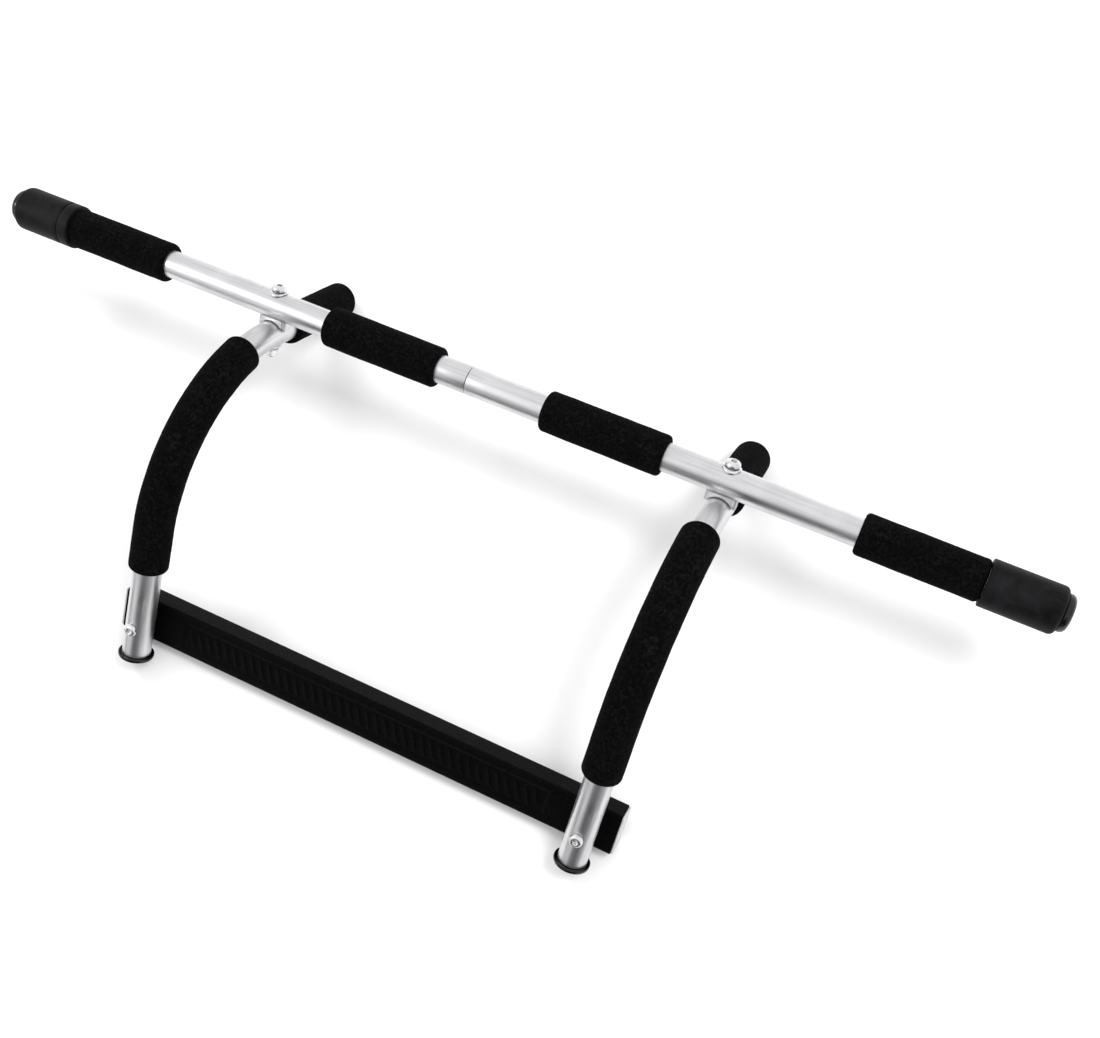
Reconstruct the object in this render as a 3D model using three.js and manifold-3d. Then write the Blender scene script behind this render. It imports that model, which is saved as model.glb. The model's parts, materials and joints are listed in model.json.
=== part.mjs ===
// Doorway pull-up bar, lying as it is set down on a floor: the brace's rear lower edge and the ends of the
// two handles touch the ground, and the long bar lies across the crest of the two bent arms.
//
// Every piece is made in the arm's own frame, in millimetres: X runs along the long bar, the legs of the
// arms rise along +Z from their lower ends, and the arms bend towards +Y. The whole set is then leaned back
// until it rests on the ground, and moved so that the middle of its footprint is the origin.

import * as THREE from "three";
import { mergeVertices } from "three/addons/utils/BufferGeometryUtils.js";
import Module from "manifold-3d";

const wasm = await Module();
wasm.setup();

// ---------- driving dimensions, millimetres and degrees ----------

const FIT_GAP = 0.35; // clearance between pieces that touch
const TUBE_WALL = 1.5; // wall of every round tube

// Long bar
const BAR_LENGTH = 980; // over the two end sleeves
const BAR_TUBE_RADIUS = 12.5;
const BAR_TUBE_SHORTFALL = 4; // how far each tube end stops inside its sleeve
const BAR_JOINT_OFFSET = -21; // where the two tubes of the bar meet, from its middle
const SPIGOT_LENGTH = 70; // reduced end of the left tube, inside the right one
const SPIGOT_TAPER = 3;

// Grips and sleeves on the long bar
const BAR_GRIP_RADIUS = 18;
const OUTER_GRIP_LENGTH = 102;
const INNER_GRIP_LENGTH = 110;
const MIDDLE_CLEAR_LENGTH = 101; // bare tube between the two inner grips
const SLEEVE_RADIUS = 20;
const SLEEVE_LENGTH = 60;
const SLEEVE_LIP = 1.2; // rounding of the sleeve's inner end
const SLEEVE_SHOULDER = 4.5; // rounding of its outer end
const BAR_PLUG_REACH = 7; // how far the end plug stands out of the sleeve
const BAR_PLUG_RADIUS = 15.8; // its head, outside the sleeve
const BAR_PLUG_ROUNDING = 5;
const GRIP_ROUNDING = 3; // rounding at both ends of every grip

// Bent arms
const ARM_SPACING = 430; // between the two arms' centrelines
const ARM_TUBE_RADIUS = 12.5;
const LEG_LENGTH = 125.7; // straight run from the lower end to the bend
const BEND_RADIUS = 149.3;
const BEND_ANGLE = 85.4;
const CROSSING_RUN = 6.4; // straight run from the bend to the long bar's centre
const HANDLE_REACH = 120; // straight run from the long bar's centre to the handle's end
const ARM_GRIP_RADIUS = 17;
const ARM_GRIP_START = 86.5; // measured along the arm from its lower end
const ARM_GRIP_CLEARANCE = 45.5; // bare tube between the arm grip and the long bar's centre
const HANDLE_GRIP_START = 19; // from the long bar's centre
const HANDLE_PLUG_REACH = 2;
const FOOT_FLANGE_RADIUS = 15.5;
const FOOT_FLANGE_THICKNESS = 3.2;
const PLUG_DEPTH = 16; // how far every plug goes into its tube
const PLUG_ROUNDING = 1.2; // edge of the handle and foot plugs

// Saddle between the long bar and an arm
const SADDLE_WALL = 0.8; // thinnest place, between the two crests
const SADDLE_WIDTH = 27; // along the long bar
const SADDLE_DEPTH = 15; // along the arm
const SADDLE_WRAP = 6.5; // how far its lips reach past each crest

// Flat brace behind the legs
const BRACE_OVERHANG = 26; // beyond each leg's centreline
const BRACE_HEIGHT = 40;
const BRACE_DEPTH = 21;
const BRACE_RISE = 8.5; // lower edge above the legs' lower ends
const BRACE_COVER_WALL = 1.4;
const BRACE_TUBE_WALL = 1.2;
const BRACE_ROUNDING = 2.5;
const BRACE_PLUG_FLANGE = 1.6;
const BRACE_PLUG_INSET = 0.8; // flange edge inside the cover's outline
const BRACE_PLUG_DEPTH = 14;

// Fasteners
const BAR_BOLT = { shank: 4, head: 6.7, headHeight: 4.4, key: 2.9, keyDepth: 2.4 };
const FOOT_BOLT = { shank: 3, head: 5.9, headHeight: 3.6, key: 2.3, keyDepth: 2 };
const WASHER_THICKNESS = 1.4;
const BAR_WASHER_RADIUS = 8.2;
const FOOT_WASHER_RADIUS = 7;
const NUT_HEIGHT = 6;
const BAR_NUT_RADIUS = 7.2; // over the corners
const FOOT_NUT_RADIUS = 5.8;
const BOLT_TIP = 2.5; // bolt standing out of its nut
const TIP_CHAMFER = 0.8; // at the end of a bolt and of a plug's shank

// Smoothness
const ROUND_SIDES = 20;
const SMALL_SIDES = 14;
const BEND_STEPS = 12;
const ROUNDING_STEPS = 2;
const ROUNDING_SHARE = 0.75; // the most of a wall that a rounding on its end may take

// ---------- sizes that follow from them ----------

const halfBar = BAR_LENGTH / 2;
const halfSpacing = ARM_SPACING / 2;
const barTubeBore = BAR_TUBE_RADIUS - TUBE_WALL;
const armTubeBore = ARM_TUBE_RADIUS - TUBE_WALL;
const bendAngle = THREE.MathUtils.degToRad(BEND_ANGLE);
const bendLength = BEND_RADIUS * bendAngle;
const bendEnd = LEG_LENGTH + bendLength;
const crossing = bendEnd + CROSSING_RUN;
const armLength = crossing + HANDLE_REACH;
const armGripEnd = crossing - ARM_GRIP_CLEARANCE;
const barRise = ARM_TUBE_RADIUS + BAR_TUBE_RADIUS + SADDLE_WALL + 2 * FIT_GAP;
const braceLength = ARM_SPACING + 2 * BRACE_OVERHANG;
const braceFront = ARM_TUBE_RADIUS + FIT_GAP;
const braceRear = braceFront + BRACE_DEPTH;
const braceMiddle = BRACE_RISE + BRACE_HEIGHT / 2;
const braceTubeInset = BRACE_COVER_WALL + FIT_GAP;
const braceBoreInset = braceTubeInset + BRACE_TUBE_WALL;
const footBoltHole = FOOT_BOLT.shank + FIT_GAP;
const barBoltHole = BAR_BOLT.shank + FIT_GAP;

// ---------- materials ----------

function material(color, roughness, metalness) {
  return new THREE.MeshStandardMaterial({ color, roughness, metalness });
}

const tubeSteel = material(0xc3c6ca, 0.3, 0.85);
const boltSteel = material(0xd2d4d6, 0.25, 0.95);
const saddleMetal = material(0xcfd1d3, 0.4, 0.6);
const blackFoam = material(0x151516, 0.95, 0);
const sleeveRubber = material(0x2b2c30, 0.65, 0);
const plugPlastic = material(0x0b0b0c, 0.35, 0);
const coverRubber = material(0x1a1a1c, 0.75, 0);
const palePlastic = material(0xc9c9c6, 0.5, 0);

// ---------- helpers ----------

const move = (x, y, z) => new THREE.Matrix4().makeTranslation(x, y, z);

// A solid for joining and cutting, made from a closed geometry in a given place.
function solidOf(geometry, place = new THREE.Matrix4()) {
  const bare = geometry.clone();
  bare.deleteAttribute("normal");
  bare.deleteAttribute("uv");
  bare.applyMatrix4(place);
  const merged = mergeVertices(bare, 1e-4);
  return new wasm.Manifold(
    new wasm.Mesh({
      numProp: 3,
      vertProperties: merged.attributes.position.array,
      triVerts: new Uint32Array(merged.index.array),
    }),
  );
}

function geometryOf(solid) {
  const mesh = solid.getMesh();
  const geometry = new THREE.BufferGeometry();
  geometry.setAttribute("position", new THREE.BufferAttribute(mesh.vertProperties, 3));
  geometry.setIndex(new THREE.BufferAttribute(mesh.triVerts, 1));
  geometry.computeVertexNormals();
  return geometry;
}

function addPiece(group, name, geometry, finish) {
  const mesh = new THREE.Mesh(geometry, finish);
  mesh.name = name;
  group.add(mesh);
}

// A quarter-round corner of a turned profile, as [radius, height] points from angle a to angle b.
function corner(radius, height, rounding, a, b) {
  const points = [];
  for (let i = 0; i <= ROUNDING_STEPS; i++) {
    const angle = a + ((b - a) * i) / ROUNDING_STEPS;
    points.push([radius + rounding * Math.cos(angle), height + rounding * Math.sin(angle)]);
  }
  return points;
}

// A body turned about +Y from [radius, height] points; a ring's profile returns to its first point.
function turned(profile, sides = ROUND_SIDES) {
  const points = profile.map(([radius, height]) => new THREE.Vector2(radius, height));
  return new THREE.LatheGeometry(points, sides);
}

// A rounding that stays within the wall it is on, however thin the wall gets.
function limitedRounding(rounding, wall) {
  return Math.min(rounding, ROUNDING_SHARE * wall);
}

// A sleeve about +Y from height 0 to length, with its outer edges rounded.
function sleeve(bore, radius, length, startRounding, endRounding) {
  const start = limitedRounding(startRounding, radius - bore);
  const end = limitedRounding(endRounding, radius - bore);
  return turned([
    [bore, 0],
    ...corner(radius - start, start, start, -Math.PI / 2, 0),
    ...corner(radius - end, length - end, end, 0, Math.PI / 2),
    [bore, length],
    [bore, 0],
  ]);
}

// A plug about +Y: shank below height 0, and a head above it with a rounded top edge. A neck lifts
// the head off the tube end.
function plug(shank, depth, head, height, rounding, neck = null) {
  const neckPoints = neck ? [[neck.radius, 0], [neck.radius, neck.height]] : [];
  return turned([
    [0, -depth],
    [shank - TIP_CHAMFER, -depth],
    [shank, -depth + TIP_CHAMFER],
    [shank, 0],
    ...neckPoints,
    [head, neck ? neck.height : 0],
    ...corner(head - rounding, height - rounding, rounding, 0, Math.PI / 2),
    [0, height],
  ]);
}

// A plain cylinder along the given axis, between two places on that axis.
function rod(radius, from, to, axis = "z", sides = SMALL_SIDES) {
  const geometry = new THREE.CylinderGeometry(radius, radius, to - from, sides);
  geometry.translate(0, (from + to) / 2, 0);
  if (axis === "z") geometry.rotateX(Math.PI / 2);
  if (axis === "x") geometry.rotateZ(-Math.PI / 2);
  return geometry;
}

// ---------- the arm's centreline ----------

// Place and direction at a distance along the arm: leg, bend, then the straight handle.
function armAt(distance) {
  const turn = THREE.MathUtils.clamp((distance - LEG_LENGTH) / BEND_RADIUS, 0, bendAngle);
  const straight = Math.max(distance - bendEnd, 0);
  const tangent = new THREE.Vector3(0, Math.sin(turn), Math.cos(turn));
  const point = new THREE.Vector3(
    0,
    BEND_RADIUS * (1 - Math.cos(turn)),
    Math.min(distance, LEG_LENGTH) + BEND_RADIUS * Math.sin(turn),
  );
  return { point: point.addScaledVector(tangent, straight), tangent };
}

// A stretch of that centreline which takes one step between neighbouring stations, so that the
// straight runs cost one step each.
class ArmStretch extends THREE.Curve {
  constructor(stations) {
    super();
    this.stations = stations;
  }

  distanceAt(u) {
    const place = u * (this.stations.length - 1);
    const before = Math.min(Math.floor(place), this.stations.length - 2);
    return THREE.MathUtils.lerp(this.stations[before], this.stations[before + 1], place - before);
  }

  getPointAt(u, target = new THREE.Vector3()) {
    return target.copy(armAt(this.distanceAt(u)).point);
  }

  getTangentAt(u, target = new THREE.Vector3()) {
    return target.copy(armAt(this.distanceAt(u)).tangent);
  }
}

// A round tube along the arm between two distances. Every tube turns at the same stations of the bend,
// and at both ends of the arm grip, so that one tube inside another keeps its clearance.
function armTubing(radius, bore, from, to) {
  const shared = [ARM_GRIP_START, armGripEnd];
  for (let i = 0; i <= BEND_STEPS; i++) shared.push(LEG_LENGTH + (bendLength * i) / BEND_STEPS);
  const inside = shared.filter((station) => station > from && station < to);
  const stations = [from, ...inside.sort((a, b) => a - b), to];
  const section = new THREE.Shape().absarc(0, 0, radius, 0, 2 * Math.PI);
  section.holes.push(new THREE.Path().absarc(0, 0, bore, 0, 2 * Math.PI, true));
  return new THREE.ExtrudeGeometry(section, {
    steps: stations.length - 1,
    curveSegments: ROUND_SIDES / 2, // an arc takes two sides for each
    bevelEnabled: false,
    extrudePath: new ArmStretch(stations),
  });
}

// The frame at a distance along the arm: +Y runs on along the arm and +Z points out of the bend.
function armFrame(distance) {
  const { point, tangent } = armAt(distance);
  const turn = Math.atan2(tangent.z, tangent.y);
  return new THREE.Matrix4().makeRotationX(turn).setPosition(point);
}

// ---------- long bar ----------

const tubeReach = halfBar - BAR_TUBE_SHORTFALL;
const spigotRadius = barTubeBore - FIT_GAP;
const spigotBore = spigotRadius - TUBE_WALL;

function leftBarTube() {
  const shoulder = BAR_JOINT_OFFSET - FIT_GAP;
  const spigotEnd = BAR_JOINT_OFFSET + SPIGOT_LENGTH;
  return turned([
    [barTubeBore, -tubeReach],
    [BAR_TUBE_RADIUS, -tubeReach],
    [BAR_TUBE_RADIUS, shoulder - SPIGOT_TAPER],
    [spigotRadius, shoulder],
    [spigotRadius, spigotEnd],
    [spigotBore, spigotEnd],
    [spigotBore, shoulder],
    [barTubeBore, shoulder - SPIGOT_TAPER],
    [barTubeBore, -tubeReach],
  ]);
}

function rightBarTube() {
  return turned([
    [barTubeBore, BAR_JOINT_OFFSET],
    [BAR_TUBE_RADIUS, BAR_JOINT_OFFSET],
    [BAR_TUBE_RADIUS, tubeReach],
    [barTubeBore, tubeReach],
    [barTubeBore, BAR_JOINT_OFFSET],
  ]);
}

function makeLongBar() {
  const bar = new THREE.Group();
  bar.applyMatrix4(armFrame(crossing).multiply(move(0, 0, barRise)));
  const boltDrill = rod(barBoltHole, -2 * BAR_TUBE_RADIUS, 2 * BAR_TUBE_RADIUS);
  for (const [side, sign] of [["left", -1], ["right", 1]]) {
    const tube = side === "left" ? leftBarTube() : rightBarTube();
    tube.rotateZ(-Math.PI / 2);
    const drilled = solidOf(tube).subtract(solidOf(boltDrill, move(sign * halfSpacing, 0, 0)));
    addPiece(bar, `bar_tube_${side}`, geometryOf(drilled), tubeSteel);

    // Everything on this half is made from the middle outwards along +X, then turned round for the left.
    const half = new THREE.Group();
    half.rotation.z = sign > 0 ? 0 : Math.PI;
    bar.add(half);
    const bore = BAR_TUBE_RADIUS + FIT_GAP;
    const place = (name, geometry, start, finish) => {
      geometry.rotateZ(-Math.PI / 2);
      geometry.translate(start, 0, 0);
      addPiece(half, `${name}_${side}`, geometry, finish);
    };
    const grip = (length) => sleeve(bore, BAR_GRIP_RADIUS, length, GRIP_ROUNDING, GRIP_ROUNDING);
    const endSleeve = sleeve(bore, SLEEVE_RADIUS, SLEEVE_LENGTH, SLEEVE_LIP, SLEEVE_SHOULDER);
    const sleeveStart = halfBar - SLEEVE_LENGTH;
    const outerGripStart = sleeveStart - FIT_GAP - OUTER_GRIP_LENGTH;
    const plugHead = BAR_TUBE_SHORTFALL + BAR_PLUG_REACH - FIT_GAP;
    place("bar_grip_inner", grip(INNER_GRIP_LENGTH), MIDDLE_CLEAR_LENGTH / 2, blackFoam);
    place("bar_grip_outer", grip(OUTER_GRIP_LENGTH), outerGripStart, blackFoam);
    place("end_sleeve", endSleeve, sleeveStart, sleeveRubber);
    const neck = { radius: BAR_TUBE_RADIUS, height: BAR_TUBE_SHORTFALL };
    const shank = barTubeBore - FIT_GAP;
    const endPlug = plug(shank, PLUG_DEPTH, BAR_PLUG_RADIUS, plugHead, BAR_PLUG_ROUNDING, neck);
    place("bar_end_plug", endPlug, tubeReach + FIT_GAP, plugPlastic);
  }
  return bar;
}

// ---------- fasteners, about +Z with the head on top and the seat at height 0 ----------

function bolt(size, length) {
  const { shank, head, headHeight, key, keyDepth } = size;
  const body = turned([
    [0, -length],
    [shank - TIP_CHAMFER, -length],
    [shank, -length + TIP_CHAMFER],
    [shank, 0],
    [head, 0],
    [head, headHeight * 0.3],
    [head * 0.86, headHeight * 0.72],
    [head * 0.55, headHeight],
    [0, headHeight],
  ], SMALL_SIDES);
  body.rotateX(Math.PI / 2);
  const socket = rod(key, headHeight - keyDepth, headHeight + 1, "z", 6);
  return geometryOf(solidOf(body).subtract(solidOf(socket)));
}

function nut(radius, hole) {
  const outline = rod(radius, 0, NUT_HEIGHT, "z", 6);
  return geometryOf(solidOf(outline).subtract(solidOf(rod(hole, -1, NUT_HEIGHT + 1))));
}

// A washer pressed to the curve of a tube: the part of a thin shell round the tube, which lies along
// the given axis with its crest's centre at height 0, that is within radius of the bolt.
function curvedWasher(radius, hole, tubeRadius, axis) {
  const inner = tubeRadius + FIT_GAP;
  const outer = inner + WASHER_THICKNESS;
  const shell = solidOf(rod(outer, -radius * 2, radius * 2, axis, 2 * ROUND_SIDES))
    .subtract(solidOf(rod(inner, -radius * 3, radius * 3, axis, 2 * ROUND_SIDES)));
  const disc = solidOf(rod(radius, 0, outer + 1)).subtract(solidOf(rod(hole, -1, outer + 2)));
  return geometryOf(shell.intersect(disc));
}

// ---------- arms ----------

function makeSaddle() {
  const low = ARM_TUBE_RADIUS - SADDLE_WRAP;
  const high = barRise - BAR_TUBE_RADIUS + SADDLE_WRAP;
  const block = new THREE.BoxGeometry(SADDLE_WIDTH, SADDLE_DEPTH, high - low);
  const underBar = rod(BAR_TUBE_RADIUS + FIT_GAP, -SADDLE_WIDTH, SADDLE_WIDTH, "x", ROUND_SIDES * 2);
  const overArm = rod(ARM_TUBE_RADIUS + FIT_GAP, -SADDLE_DEPTH, SADDLE_DEPTH, "y", ROUND_SIDES * 2);
  return geometryOf(
    solidOf(block, move(0, 0, (low + high) / 2))
      .subtract(solidOf(underBar, move(0, 0, barRise)))
      .subtract(solidOf(overArm))
      .subtract(solidOf(rod(barBoltHole, 0, barRise))),
  );
}

// The bolt, washers, nut and saddle that clamp the long bar across one arm.
function makeCrossing(side) {
  const joint = new THREE.Group();
  joint.applyMatrix4(armFrame(crossing));
  const washerTop = FIT_GAP + WASHER_THICKNESS + FIT_GAP;
  const seat = barRise + BAR_TUBE_RADIUS + washerTop;
  const nutTop = -(ARM_TUBE_RADIUS + washerTop);
  const boltLength = seat - nutTop + NUT_HEIGHT + BOLT_TIP;

  const headWasher = curvedWasher(BAR_WASHER_RADIUS, barBoltHole, BAR_TUBE_RADIUS, "x");
  headWasher.translate(0, 0, barRise);
  const nutWasher = curvedWasher(BAR_WASHER_RADIUS, barBoltHole, ARM_TUBE_RADIUS, "y");
  nutWasher.rotateY(Math.PI);

  const barNut = nut(BAR_NUT_RADIUS, barBoltHole);
  barNut.translate(0, 0, nutTop - NUT_HEIGHT);

  addPiece(joint, `saddle_${side}`, makeSaddle(), saddleMetal);
  addPiece(joint, `bar_bolt_${side}`, bolt(BAR_BOLT, boltLength).translate(0, 0, seat), boltSteel);
  addPiece(joint, `bar_bolt_washer_${side}`, headWasher, boltSteel);
  addPiece(joint, `bar_nut_washer_${side}`, nutWasher, boltSteel);
  addPiece(joint, `bar_nut_${side}`, barNut, boltSteel);
  return joint;
}

// The bolt through a leg and the brace's front walls, with its washer and nut inside the brace tube, so
// that the brace's rear face stays flat.
function makeFootFixing(side) {
  const fixing = new THREE.Group();
  fixing.position.z = braceMiddle;
  fixing.rotation.x = Math.PI / 2; // +Z of each fastener becomes -Y, out of the front of the leg
  const seat = ARM_TUBE_RADIUS + FIT_GAP;
  const washerFront = -(braceFront + braceBoreInset + FIT_GAP);
  const nutFront = washerFront - WASHER_THICKNESS - FIT_GAP;
  const boltLength = seat - nutFront + NUT_HEIGHT + BOLT_TIP;
  const disc = solidOf(rod(FOOT_WASHER_RADIUS, 0, WASHER_THICKNESS));
  const washer = geometryOf(disc.subtract(solidOf(rod(footBoltHole, -1, WASHER_THICKNESS + 1))));
  washer.translate(0, 0, washerFront - WASHER_THICKNESS);
  const footNut = nut(FOOT_NUT_RADIUS, footBoltHole);
  footNut.translate(0, 0, nutFront - NUT_HEIGHT);

  addPiece(fixing, `foot_bolt_${side}`, bolt(FOOT_BOLT, boltLength).translate(0, 0, seat), boltSteel);
  addPiece(fixing, `foot_washer_${side}`, washer, boltSteel);
  addPiece(fixing, `foot_nut_${side}`, footNut, boltSteel);
  return fixing;
}

function makeArm(side, sign) {
  const arm = new THREE.Group();
  arm.position.x = sign * halfSpacing;
  const bore = ARM_TUBE_RADIUS + FIT_GAP;
  const handleEnd = armFrame(armLength);
  const drillReach = 2 * ARM_TUBE_RADIUS;

  const bent = solidOf(armTubing(ARM_TUBE_RADIUS, armTubeBore, 0, armLength));
  const barDrill = solidOf(rod(barBoltHole, -drillReach, drillReach), armFrame(crossing));
  const footDrill = solidOf(rod(footBoltHole, -drillReach, drillReach, "y"), move(0, 0, braceMiddle));
  addPiece(arm, `arm_tube_${side}`, geometryOf(bent.subtract(barDrill).subtract(footDrill)), tubeSteel);

  const armGrip = armTubing(ARM_GRIP_RADIUS, bore, ARM_GRIP_START, armGripEnd);
  addPiece(arm, `arm_grip_${side}`, armGrip, blackFoam);

  const handleLength = HANDLE_REACH - HANDLE_GRIP_START;
  const handleGrip = sleeve(bore, ARM_GRIP_RADIUS, handleLength, GRIP_ROUNDING, GRIP_ROUNDING);
  handleGrip.applyMatrix4(armFrame(crossing + HANDLE_GRIP_START));
  addPiece(arm, `handle_grip_${side}`, handleGrip, blackFoam);

  const plugShank = armTubeBore - FIT_GAP;
  const handlePlug = plug(plugShank, PLUG_DEPTH, ARM_TUBE_RADIUS, HANDLE_PLUG_REACH, PLUG_ROUNDING);
  handlePlug.translate(0, FIT_GAP, 0).applyMatrix4(handleEnd);
  addPiece(arm, `handle_plug_${side}`, handlePlug, plugPlastic);

  const footPlug = plug(plugShank, PLUG_DEPTH, FOOT_FLANGE_RADIUS, FOOT_FLANGE_THICKNESS, PLUG_ROUNDING);
  footPlug.rotateX(-Math.PI / 2).translate(0, 0, -FIT_GAP);
  addPiece(arm, `foot_plug_${side}`, footPlug, plugPlastic);

  arm.add(makeCrossing(side), makeFootFixing(side));
  return arm;
}

// ---------- flat brace ----------

// A rounded rectangle of the brace's section, shrunk by an inset all round.
function braceOutline(inset, target = new THREE.Shape()) {
  const halfDepth = BRACE_DEPTH / 2 - inset;
  const halfHeight = BRACE_HEIGHT / 2 - inset;
  const rounding = Math.max(BRACE_ROUNDING - inset, 0.4);
  const quarter = Math.PI / 2;
  target.absarc(halfDepth - rounding, halfHeight - rounding, rounding, 0, quarter);
  target.absarc(-halfDepth + rounding, halfHeight - rounding, rounding, quarter, 2 * quarter);
  target.absarc(-halfDepth + rounding, -halfHeight + rounding, rounding, 2 * quarter, 3 * quarter);
  target.absarc(halfDepth - rounding, -halfHeight + rounding, rounding, 3 * quarter, 4 * quarter);
  return target;
}

// A length of that section along +X between two places; the section's depth lies along Y.
function braceLengthOf(outerInset, innerInset, from, to) {
  const section = braceOutline(outerInset);
  if (innerInset !== null) section.holes.push(braceOutline(innerInset, new THREE.Path()));
  const geometry = new THREE.ExtrudeGeometry(section, {
    depth: to - from,
    curveSegments: ROUNDING_STEPS / 2, // an arc takes two sides for each
    bevelEnabled: false,
  });
  geometry.rotateX(Math.PI / 2).rotateZ(Math.PI / 2);
  return geometry.translate(from, 0, 0);
}

function makeBrace() {
  const brace = new THREE.Group();
  brace.position.set(0, braceFront + BRACE_DEPTH / 2, braceMiddle);
  const half = braceLength / 2;
  const drills = [-halfSpacing, halfSpacing].map((x) =>
    solidOf(rod(footBoltHole, -BRACE_DEPTH, 0, "y"), move(x, 0, 0)),
  );
  const drilled = (geometry) => geometryOf(solidOf(geometry).subtract(drills[0]).subtract(drills[1]));
  addPiece(brace, "brace_cover", drilled(braceLengthOf(0, BRACE_COVER_WALL, -half, half)), coverRubber);
  const bareTube = braceLengthOf(braceTubeInset, braceBoreInset, -half, half);
  addPiece(brace, "brace_tube", drilled(bareTube), tubeSteel);

  for (const [side, sign] of [["left", -1], ["right", 1]]) {
    const flangeStart = half + FIT_GAP;
    const flange = braceLengthOf(BRACE_PLUG_INSET, null, flangeStart, flangeStart + BRACE_PLUG_FLANGE);
    const shankEnd = flangeStart + BRACE_PLUG_FLANGE / 2;
    const shank = braceLengthOf(braceBoreInset + FIT_GAP, null, half - BRACE_PLUG_DEPTH, shankEnd);
    const endPlug = geometryOf(solidOf(flange).add(solidOf(shank)));
    if (sign < 0) endPlug.rotateZ(Math.PI);
    addPiece(brace, `brace_end_plug_${side}`, endPlug, palePlastic);
  }
  return brace;
}

// ---------- the set, leaned back until the brace and the handles are on the ground ----------

// The ground is the tangent under the brace's rear lower corner and the rounded end of a handle grip.
function leanAngle() {
  const end = armAt(armLength);
  const inward = new THREE.Vector3(0, end.tangent.z, -end.tangent.y);
  const rounding = limitedRounding(GRIP_ROUNDING, ARM_GRIP_RADIUS - ARM_TUBE_RADIUS - FIT_GAP);
  const grip = end.point
    .clone()
    .addScaledVector(end.tangent, -rounding)
    .addScaledVector(inward, ARM_GRIP_RADIUS - rounding);
  const across = grip.y - (braceRear - BRACE_ROUNDING);
  const up = grip.z - (BRACE_RISE + BRACE_ROUNDING);
  return Math.atan2(up, across) - Math.asin((rounding - BRACE_ROUNDING) / Math.hypot(across, up));
}

const set = new THREE.Group();
set.add(makeLongBar(), makeBrace(), makeArm("left", -1), makeArm("right", 1));
set.rotation.x = -leanAngle();

const pullUpBar = new THREE.Group();
pullUpBar.add(set);
pullUpBar.updateMatrixWorld(true);
const reach = new THREE.Box3().setFromObject(pullUpBar, true);
set.position.set(0, -(reach.min.y + reach.max.y) / 2, -reach.min.z);

export default pullUpBar;
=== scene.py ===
import bpy
import bmesh
import json
import math
from mathutils import Matrix, Vector, noise


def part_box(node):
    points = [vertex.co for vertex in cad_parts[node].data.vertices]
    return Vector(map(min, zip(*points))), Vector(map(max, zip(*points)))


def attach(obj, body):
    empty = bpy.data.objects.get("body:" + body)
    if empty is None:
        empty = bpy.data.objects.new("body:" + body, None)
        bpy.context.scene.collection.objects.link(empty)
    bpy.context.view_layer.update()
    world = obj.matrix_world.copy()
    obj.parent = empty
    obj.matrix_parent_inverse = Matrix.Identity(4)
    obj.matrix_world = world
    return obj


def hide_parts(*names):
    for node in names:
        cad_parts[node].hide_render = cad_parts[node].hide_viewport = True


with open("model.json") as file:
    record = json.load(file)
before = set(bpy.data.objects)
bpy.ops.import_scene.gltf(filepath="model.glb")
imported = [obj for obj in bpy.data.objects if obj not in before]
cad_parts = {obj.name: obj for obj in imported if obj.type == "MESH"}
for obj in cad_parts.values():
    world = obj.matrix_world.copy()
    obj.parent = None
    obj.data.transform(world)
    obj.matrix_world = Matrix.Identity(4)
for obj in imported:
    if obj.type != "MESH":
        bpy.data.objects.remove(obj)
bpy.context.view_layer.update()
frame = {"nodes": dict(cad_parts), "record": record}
scene = bpy.context.scene
mounts = {mount["name"]: mount for mount in frame["record"]["mounts"]}
sides = (("left", -1), ("right", 1))
fullTurn = 2 * math.pi
print("frame loaded:", len(frame["nodes"]), "nodes")


# camera

cameraView = {
    "place": (0.3326, -0.2417, 1.0945),
    "aim": (0.0827, 0.0547, 0.06),
    "roll": -15.9,  # degrees, about the line of sight
    "lens": 41.96,
    "sensor": 36.0,
}


def setCamera(look):
    camera = bpy.data.objects.new("camera", bpy.data.cameras.new("camera"))
    camera.data.lens = look["lens"]
    camera.data.sensor_width = look["sensor"]
    camera.data.clip_start = 0.01
    camera.data.clip_end = 100
    sight = Vector(look["aim"]) - Vector(look["place"])
    turned = sight.to_track_quat("-Z", "Y").to_matrix().to_4x4()
    camera.matrix_world = (
        Matrix.Translation(look["place"]) @ turned @ Matrix.Rotation(math.radians(look["roll"]), 4, "Z")
    )
    scene.collection.objects.link(camera)
    scene.camera = camera


setCamera(cameraView)
print("camera set")


# node helpers

def newPaint(name, **settings):
    paint = bpy.data.materials.new(name)
    paint.use_nodes = True
    tree = paint.node_tree
    shader = tree.nodes["Principled BSDF"]
    for socket, value in settings.items():
        shader.inputs[socket.replace("_", " ")].default_value = value
    return paint, tree, shader


def addNode(tree, kind, inputs=None, **settings):
    made = tree.nodes.new("ShaderNode" + kind)
    for key, value in settings.items():
        setattr(made, key, value)
    for key, value in (inputs or {}).items():
        if isinstance(value, bpy.types.NodeSocket):
            tree.links.new(value, made.inputs[key])
        else:
            made.inputs[key].default_value = value
    return made


def stretched(tree, place, scale):
    return addNode(tree, "Mapping", {"Vector": place, "Scale": scale}).outputs["Vector"]


def noiseOf(tree, place, scale, detail=4.0, rough=0.55, warp=0.0):
    inputs = {"Vector": place, "Scale": scale, "Detail": detail, "Roughness": rough, "Distortion": warp}
    return addNode(tree, "TexNoise", inputs).outputs["Fac"]


def ramp(tree, value, low, high, fromValue=0.0, toValue=1.0):
    inputs = {"Value": value, "From Min": low, "From Max": high, "To Min": fromValue, "To Max": toValue}
    return addNode(tree, "MapRange", inputs).outputs["Result"]


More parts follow.
